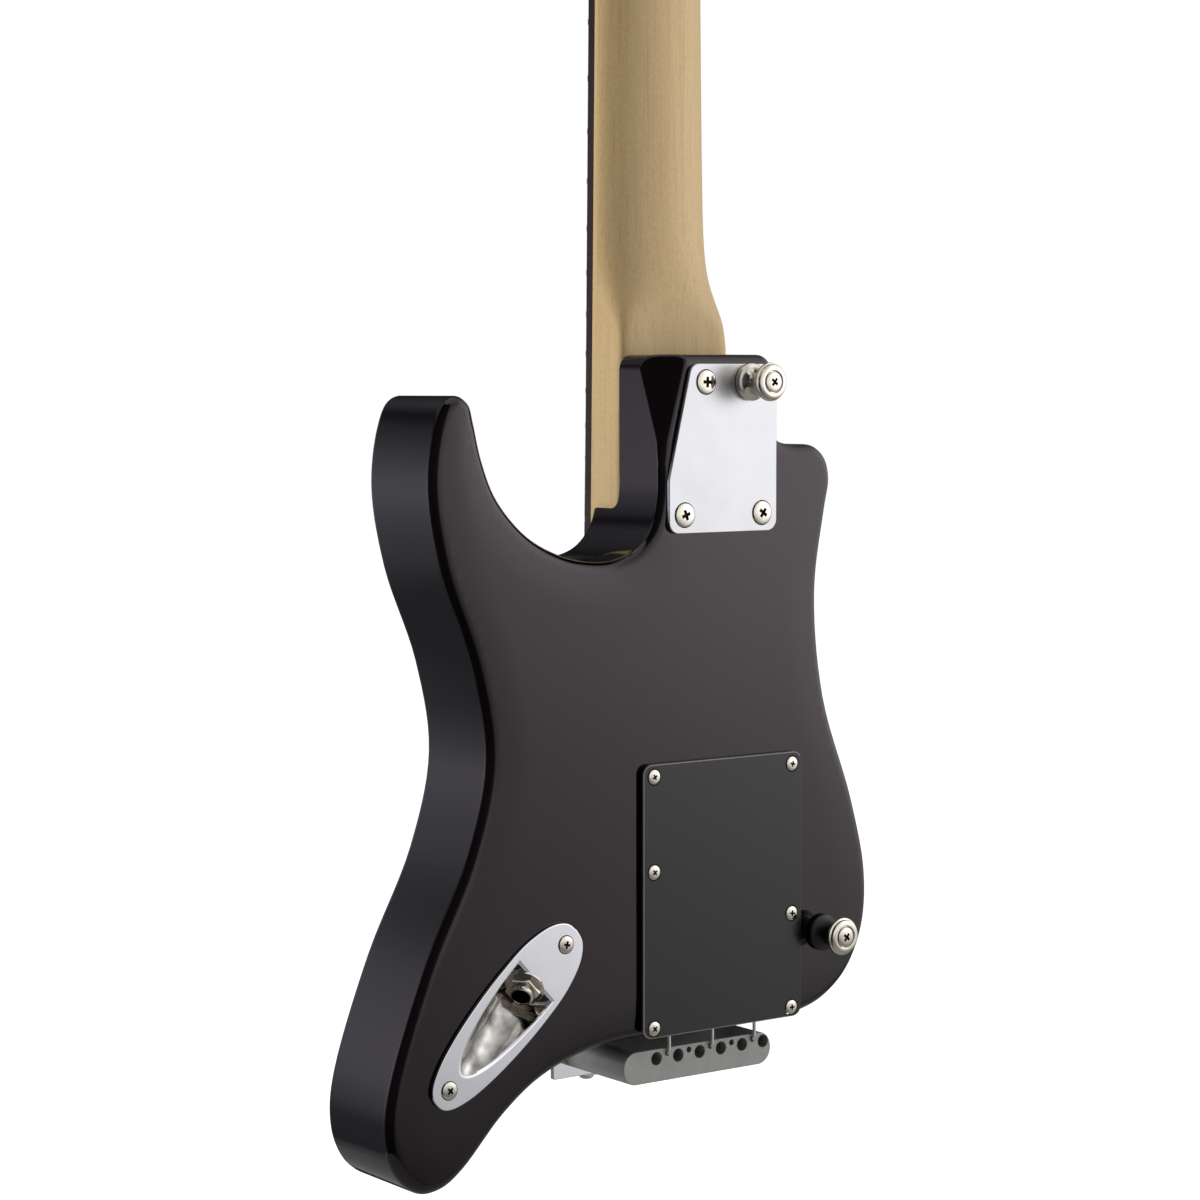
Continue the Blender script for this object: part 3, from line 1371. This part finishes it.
GUARD_SCREWS = (
    (-38, 205), (-42.5, 176), (-41, 128), (-55.5, 79), (-60.5, 40), (-40, 21), (48, 22), (97, 40),
    (100, 66), (88.5, 103), (92, 160), (64, 167.5), (32.5, 174),
)
PICKUP_SCREW = 39.5
SWITCH_SCREW = 13.5
POT_BORE = 4.9
KNOB_PROFILE = (
    # radius and height above the knob's foot
    (0, 4), (7, 4), (7, 0), (12.1, 0), (12.4, 0.4), (12.3, 1.6), (11.2, 2.9), (10.4, 3.8),
    (10.15, 5), (9.7, 12.6), (9.45, 14.3), (8.9, 15.2), (8.2, 15.5), (0, 15.5),
)


def guard_shape():
    outside, inside = GUARD_FRONT - PAST, GUARD_BACK + PAST
    bm = slab(smooth_run(GUARD_OUTLINE, 8), GUARD_FRONT, GUARD_BACK)
    round_edges(bm, edges_at(bm, GUARD_FRONT), 1.3, 1)
    gap = 0.8
    end = NECK_END - gap
    notch = neck_half_width(end) + gap
    cutters = [block((-notch, outside, end), (notch, inside, HEEL_TOP))]
    for _, z, tilt in PICKUPS:
        cutters.append(at_pickup(slab(pickup_outline(0.5), outside, inside), z, tilt))
    cutters += [rod_y(*place, outside, inside, POT_BORE) for place in (VOLUME, TONE)]
    cutters.append(at_switch(slab(box_outline(-1.5, 1.5, -8.5, 8.5, 1.4), outside, inside)))
    return combined(bm, cutters)


def guard_screw_places():
    """Round the guard's edge, at both ends of each pickup, and at the selector's ends."""
    places = list(GUARD_SCREWS)
    for _, z, tilt in PICKUPS:
        for side in (-PICKUP_SCREW, PICKUP_SCREW):
            places.append((side * math.cos(tilt), z - side * math.sin(tilt)))
    for side in (-SWITCH_SCREW, SWITCH_SCREW):
        across, along = side * math.sin(SWITCH_TURN), side * math.cos(SWITCH_TURN)
        places.append((SWITCH[0] + across, SWITCH[1] + along))
    return places


def pickup_shapes(z, tilt):
    """A cover with rounded edges, and six pole pieces."""
    top = GUARD_FRONT - 4.6
    cover = rounded_slab(pickup_outline(0, 12), top, GUARD_FRONT + 13, 1.2, 5)
    poles = []
    for i in range(STRINGS):
        pole = rod_y(string_x(i, PICKUPS[1][1]), 0, top - 0.8, top + 2, 2.4)
        poles.append(round_edges(pole, edges_at(pole, top - 0.8), 0.3, 2))
    return at_pickup(cover, z, tilt), at_pickup(gathered(poles), z, tilt)


def knob_shape(place):
    """A skirted knob with ribs round its grip, and its shaft."""
    knob = placed(turned(KNOB_PROFILE, 120), FLIP)
    for vert in knob.verts:
        if 4.5 < -vert.co.y < 14.5:
            angle = math.atan2(vert.co.z, vert.co.x)
            grip = 1 - 0.025 * (0.5 + 0.5 * math.cos(30 * angle))
            vert.co.x *= grip
            vert.co.z *= grip
    foot = GUARD_FRONT - 0.8
    placed(knob, shift(0, foot, 0))
    shaft = rod_y(0, 0, foot - 5, -42.55, 3, 24)
    return placed(gathered([knob, shaft]), shift(place[0], 0, place[1]))


class GUITAR_OT_front(bpy.types.Operator):
    """Builds the guard, pickups, knobs and selector"""

    bl_idname = "guitar.front"
    bl_label = "Guard and controls"

    def execute(self, context):
        finish(guard_shape(), "layered_guard", "guard", "pickguard")
        for name, z, tilt in PICKUPS:
            cover, poles = pickup_shapes(z, tilt)
            finish(cover, f"{name}_cover", "plastic", name)
            finish(poles, f"{name}_poles", "steel")
        heads = front_screws(guard_screw_places(), GUARD_FRONT + 0.2, radius=2.7, rise=0.9)
        finish(heads, "guard_screws", "nickel", marked=["recess"])
        for place, name in ((VOLUME, "volume"), (TONE, "tone")):
            knob = knob_shape(place)
            finish(knob, f"{name}_knob_grip", "plastic", f"{name}_knob", body=f"{name}_control")
        dress("steel", "volume_pot", "tone_pot", "selector_switch")
        dress("plastic", "selector_lever", edge=0.5)
        return {"FINISHED"}


# Tuners and strings

POST_PROFILE = (
    # radius and height, from inside the housing to the top of the post
    (0, -5), (3, -5), (3, 17.3), (2.75, 17.9), (2.4, 18.6), (2.4, 22.8), (2.75, 23.5), (3, 24),
    (3, 25.9), (2.6, 26.3), (0, 26.3),
)
KEY_AXIS = (5.5, 4.6)


def at_tuner(bm, index):
    x, z = POSTS[index]
    return placed(bm, shift(x, HEAD_BACK, z) @ rotation(ROW_ANGLE))


def key_rod(start, end, radius, sides=24, end_radius=None):
    """A round bar along the key's axis."""
    return rod((start, *KEY_AXIS), (end, *KEY_AXIS), radius, sides, end_radius)


def tuner_housing():
    """A closed casing behind the head with its sleeve, collar and front washer."""
    face = HEAD_FACE - HEAD_BACK
    casing = rounded_slab(box_outline(-10, 8, -6.5, 10.5, 2.4), SEAT, 11.3, 1.2, 4)
    for part in (key_rod(-11.2, -9, 3.4, 32), rod_y(0, 0, face, 2, 4.8, 40)):
        casing = combined(casing, [part], "UNION")
    casing = combined(casing, [rod_y(0, 0, face - PAST, 5.3, 3.3), key_rod(-16, -3.7, 2.3)])
    low, high, top = face - 0.1, face - 0.7, face - 1.6
    washer = turned(((3.3, low), (3.3, top), (4.6, top), (6.2, high), (6.2, low), (3.3, low)), 40)
    return gathered([casing, washer])


def tuner_key():
    """A shaft with an oval button."""
    steps = 48
    angles = [math.tau * i / steps for i in range(steps)]
    outline = [(-22.5 + 6.5 * math.cos(a), KEY_AXIS[1] + 9 * math.sin(a)) for a in angles]
    button = rounded_slab(outline, 2, 9, 2.8, 6)
    return gathered([key_rod(-4, -17, 2), key_rod(-14, -18.5, 2.4, 24, 3.2), button])


def string_height(index, z):
    """Over frets 1.1 mm high, by an action that falls from 3.8 mm at the saddle to 0.5 mm at the nut."""
    fret, action = 1.1, 3.8 - 3.3 * z / SCALE
    return crown(string_x(index, z), fret + action) - STRING_RADII[index]


def string_points(index):
    """From the ball in the block over saddle and nut, once round the post."""
    x0 = string_x(index, 0)
    tree = NUT_TOP + 53
    points = [
        (x0, BLOCK_REAR - 17, STRING_HOLE), (x0, PLATE_FRONT - 1, STRING_HOLE),
        (x0, string_height(index, 0), -0.7),
        (string_x(index, NUT_TOP), string_height(index, NUT_TOP), NUT_TOP + SEAT),
    ]
    if index < 2:
        points.append((string_x(index, tree), HEAD_FACE - 5, tree))
    x, z = POSTS[index]
    loop = POST_GRIP + STRING_RADII[index]
    steps = 24
    for i in range(steps + 1):
        angle = math.tau * i / steps
        y = HEAD_FACE - 6.2 + 1.6 * i / steps
        points.append((x + loop * math.cos(angle), y, z + loop * math.sin(angle)))
    return points


class GUITAR_OT_tuners(bpy.types.Operator):
    """Builds the tuners and their keys, and dresses the string tree"""

    bl_idname = "guitar.tuners"
    bl_label = "Tuners"

    def execute(self, context):
        housing, key = tuner_housing(), tuner_key()
        post = placed(turned(POST_PROFILE, 40), FLIP)
        for i in range(STRINGS):
            n = i + 1
            parts = (
                (housing, "casing", "guitar", f"tuner_housing_{n}"),
                (post, "peg", f"post_{n}", f"tuner_post_{n}"),
                (key, "button", f"key_{n}", f"tuner_key_{n}"),
            )
            for shape, name, body, node in parts:
                finish(at_tuner(shape.copy(), i), f"{name}_{n}", "chrome", node, body=body)
        dress("chrome", "string_tree", edge=0.4)
        return {"FINISHED"}


class GUITAR_OT_strings(bpy.types.Operator):
    """Builds three plain and three wound strings with their balls"""

    bl_idname = "guitar.strings"
    bl_label = "Strings"

    def execute(self, context):
        for i in range(STRINGS):
            line = wire(string_points(i), STRING_RADII[i])
            ball = rod_y(string_x(i, 0), STRING_HOLE, BLOCK_REAR - 18.7, BLOCK_REAR - 15.7, 1.9, 24)
            look = "music_wire" if i < 3 else "wound"
            node = f"string_{i + 1}"
            finish(gathered([line, ball]), f"{node}_wire", look, node, slot="nickel")
        return {"FINISHED"}


# Stage

CAMERA_PLACE = (718.28, 895.52, 244.87)
CAMERA_ANGLES = (143.65, 4.096, -0.0855)
LENS = 90.06
WHITE = linear("ffffff")

# The floor's height and the room's radius in metres
FLOOR = -0.6
ROOM = 1.0

# How bright the room is round the guitar, by the angle from +X towards +Y and by height in metres
FRONT_AROUND = (
    (-180, 0), (-140, 0.02), (-125, 0.04), (-110, 0.12), (-91, 0.35), (-71, 0.75), (-57, 1.0), (-47, 1.2),
    (-39, 2.0), (-32, 2.5), (-25, 1.2), (-18, 0.1), (-12, 0), (180, 0),
)
FRONT_HEIGHTS = (
    (-0.6, 0.35), (-0.54, 0.3), (-0.5, 0.08), (-0.4, 0.15), (-0.27, 0.14), (-0.2, 0.2), (-0.12, 0.35),
    (-0.035, 0.46), (0.04, 0.62), (0.12, 0.75), (0.195, 0.7), (0.26, 0.6), (0.34, 0.41), (0.4, 0.32),
    (0.5, 0.14), (0.56, 0.05), (0.64, 0.06), (0.8, 0.34), (2, 0.34),
)
REAR_AROUND = (
    (-180, 0.5), (-161, 0.25), (-141, 0.08), (-129, 0.02), (-115, 0), (56, 0), (64, 0.25), (72, 0.42),
    (80, 0.48), (105, 0.55), (116, 0.65), (124, 0.8), (131, 0.98), (140, 1.0), (160, 0.9), (180, 0.5),
)
REAR_HEIGHTS = (
    (-0.6, 0.25), (-0.4, 0.45), (-0.27, 0.73), (-0.11, 1.13), (-0.02, 1.4), (0.05, 1.75), (0.12, 2.05),
    (0.2, 2.3), (0.4, 2.35), (0.8, 1.9), (1.4, 1.2), (2, 1.2),
)


def photo_camera():
    """The camera at the photograph's viewing angle."""
    azimuth, elevation, roll = (math.radians(a) for a in CAMERA_ANGLES)
    away = Vector((
        math.sin(azimuth) * math.cos(elevation),
        -math.cos(azimuth) * math.cos(elevation),
        math.sin(elevation),
    ))
    data = bpy.data.cameras.new("photo_camera")
    data.lens = LENS
    data.sensor_width = 36
    data.clip_start = 0.01
    camera = bpy.data.objects.new("photo_camera", data)
    camera.location = Vector(CAMERA_PLACE) * MM
    aim = away.to_track_quat("Z", "Y") @ Quaternion((0, 0, 1), roll)
    camera.rotation_euler = aim.to_euler()
    bpy.context.collection.objects.link(camera)
    bpy.context.scene.camera = camera


def area_lamp(name, place, power, target=(0.0, -0.02, 0.2), size=(1.0, 1.2)):
    light = bpy.data.lights.new(name, "AREA")
    light.shape = "RECTANGLE"
    light.size, light.size_y = size
    light.energy = power
    lamp = bpy.data.objects.new(name, light)
    lamp.location = place
    lamp.rotation_euler = (Vector(place) - Vector(target)).to_track_quat("Z", "Y").to_euler()
    lamp.visible_glossy = False
    bpy.context.collection.objects.link(lamp)


def plain_world(level):
    """White to the camera and in reflections, and a soft even light on everything else."""
    world = bpy.data.worlds.new("studio")
    bpy.context.scene.world = world
    tree = cleared(world)
    rays = add(tree, "ShaderNodeLightPath").outputs
    seen = rays["Is Camera Ray"]
    for kind in ("Is Glossy Ray", "Is Transmission Ray"):
        seen = add(tree, "ShaderNodeMath", {0: seen, 1: rays[kind]}, operation="MAXIMUM").outputs[0]
    sky = {"Color": WHITE, "Strength": between(tree, seen, level, 1.0, 0.0, 1.0)}
    shader = add(tree, "ShaderNodeBackground", sky)
    add(tree, "ShaderNodeOutputWorld", {"Surface": shader.outputs["Background"]})


def staged(bm, name, material):
    """An object of the stage, in metres."""
    mesh = bpy.data.meshes.new(name)
    bm.to_mesh(mesh)
    bm.free()
    mesh.materials.append(material)
    obj = bpy.data.objects.new(name, mesh)
    bpy.context.collection.objects.link(obj)
    return obj


def pale_floor():
    """A pale floor below the hanging guitar, which keeps its shadow."""
    bm = bmesh.new()
    bmesh.ops.create_grid(bm, x_segments=1, y_segments=1, size=14)
    bmesh.ops.translate(bm, vec=(0, 0, FLOOR), verts=bm.verts)
    material = bpy.data.materials.new("pale_paper")
    tree = cleared(material)
    paper = add(tree, "ShaderNodeBsdfDiffuse", {"Color": linear("eeeeee")})
    rays = add(tree, "ShaderNodeLightPath").outputs
    strength = between(tree, rays["Is Camera Ray"], 0.2, 0.75, 0.0, 1.0)
    glow = add(tree, "ShaderNodeEmission", {"Color": WHITE, "Strength": strength})
    seen = add(tree, "ShaderNodeAddShader", {0: paper.outputs[0], 1: glow.outputs[0]})
    mirrored = add(tree, "ShaderNodeEmission", {"Color": WHITE, "Strength": 0.33})
    parts = {0: rays["Is Glossy Ray"], 1: seen.outputs[0], 2: mirrored.outputs[0]}
    mix = add(tree, "ShaderNodeMixShader", parts)
    add(tree, "ShaderNodeOutputMaterial", {"Surface": mix.outputs[0]})
    staged(bm, "floor", material)


def profile(tree, value, stops):
    """Follows levels set by hand at rising values."""
    first, last = stops[0][0], stops[-1][0]
    ramp = add(tree, "ShaderNodeValToRGB", {"Fac": between(tree, value, 0.0, 1.0, first, last)})
    ramp.color_ramp.interpolation = "B_SPLINE"
    elements = ramp.color_ramp.elements
    highest = max(level for _, level in stops)
    for place, _ in stops[1:-1]:
        elements.new((place - first) / (last - first))
    for element, (_, level) in zip(elements, stops):
        share = level / highest
        element.color = (share, share, share, 1)
    levels = {0: ramp.outputs["Color"], 1: highest}
    return add(tree, "ShaderNodeMath", levels, operation="MULTIPLY").outputs[0]


def studio_room():
    """The studio's lit and unlit walls, which only reflections see."""
    bm = bmesh.new()
    foot, top = (bm.verts.new((ROOM, 0, z)) for z in (FLOOR, FRONT_HEIGHTS[-1][0]))
    bmesh.ops.spin(
        bm,
        geom=[foot, top, bm.edges.new((foot, top))],
        cent=(0, 0, 0),
        axis=(0, 0, 1),
        angle=math.tau,
        steps=96,
        use_merge=True,
    )
    material = bpy.data.materials.new("studio_walls")
    tree = cleared(material)
    place = add(tree, "ShaderNodeTexCoord").outputs["Object"]
    axes = add(tree, "ShaderNodeSeparateXYZ", {"Vector": place}).outputs
    angle = add(tree, "ShaderNodeMath", {0: axes["Y"], 1: axes["X"]}, operation="ARCTAN2").outputs[0]
    side = add(tree, "ShaderNodeMath", {0: angle}, operation="DEGREES").outputs[0]
    walls = ((FRONT_AROUND, FRONT_HEIGHTS, "f0f3ff"), (REAR_AROUND, REAR_HEIGHTS, "fdfdff"))
    glows = []
    for around, heights, colour in walls:
        levels = {0: profile(tree, side, around), 1: profile(tree, axes["Z"], heights), 2: 0.005}
        lit = add(tree, "ShaderNodeMath", levels, operation="MULTIPLY_ADD").outputs[0]
        glows.append(add(tree, "ShaderNodeEmission", {"Color": linear(colour), "Strength": lit}))
    both = add(tree, "ShaderNodeAddShader", {i: glow.outputs[0] for i, glow in enumerate(glows)})
    add(tree, "ShaderNodeOutputMaterial", {"Surface": both.outputs[0]})
    room = staged(bm, "studio_room", material)
    room.visible_camera = False
    room.visible_diffuse = False
    room.visible_shadow = False
    room.visible_transmission = False


class GUITAR_OT_stage(bpy.types.Operator):
    """Sets the camera, the lamps, the floor and what reflections see"""

    bl_idname = "guitar.stage"
    bl_label = "Stage"

    def execute(self, context):
        context.scene.view_settings.view_transform = "Standard"
        photo_camera()
        plain_world(0.4)
        area_lamp("key", (-1.6, 0.9, 0.8), 29)
        area_lamp("flank", (1.38, -1.16, 0.72), 36)
        pale_floor()
        studio_room()
        return {"FINISHED"}


STEPS = (
    GUITAR_OT_stage,
    GUITAR_OT_body,
    GUITAR_OT_neck,
    GUITAR_OT_rear_cover,
    GUITAR_OT_neck_plate,
    GUITAR_OT_strap_buttons,
    GUITAR_OT_jack_plate,
    GUITAR_OT_tremolo,
    GUITAR_OT_springs,
    GUITAR_OT_front,
    GUITAR_OT_tuners,
    GUITAR_OT_strings,
)


class GUITAR_PT_panel(bpy.types.Panel):
    """Lists the steps that build the guitar"""

    bl_idname = "GUITAR_PT_panel"
    bl_label = "Travel guitar"
    bl_space_type = "VIEW_3D"
    bl_region_type = "UI"
    bl_category = "Guitar"

    def draw(self, context):
        for group in (context.scene.guitar_sizes, context.scene.guitar_colours):
            for name in group.__annotations__:
                self.layout.prop(group, name)
        for step in STEPS:
            self.layout.operator(step.bl_idname)


CLASSES = (GuitarColours, GuitarSizes, *STEPS, GUITAR_PT_panel)


def register():
    for cls in CLASSES:
        bpy.utils.register_class(cls)
    bpy.types.Scene.guitar_colours = bpy.props.PointerProperty(type=GuitarColours)
    bpy.types.Scene.guitar_sizes = bpy.props.PointerProperty(type=GuitarSizes)


def unregister():
    del bpy.types.Scene.guitar_sizes
    del bpy.types.Scene.guitar_colours
    for cls in reversed(CLASSES):
        bpy.utils.unregister_class(cls)


def main():
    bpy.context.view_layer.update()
    register()
    for step in STEPS:
        group, name = step.bl_idname.split(".")
        getattr(getattr(bpy.ops, group), name)()


if __name__ == "__main__":
    main()
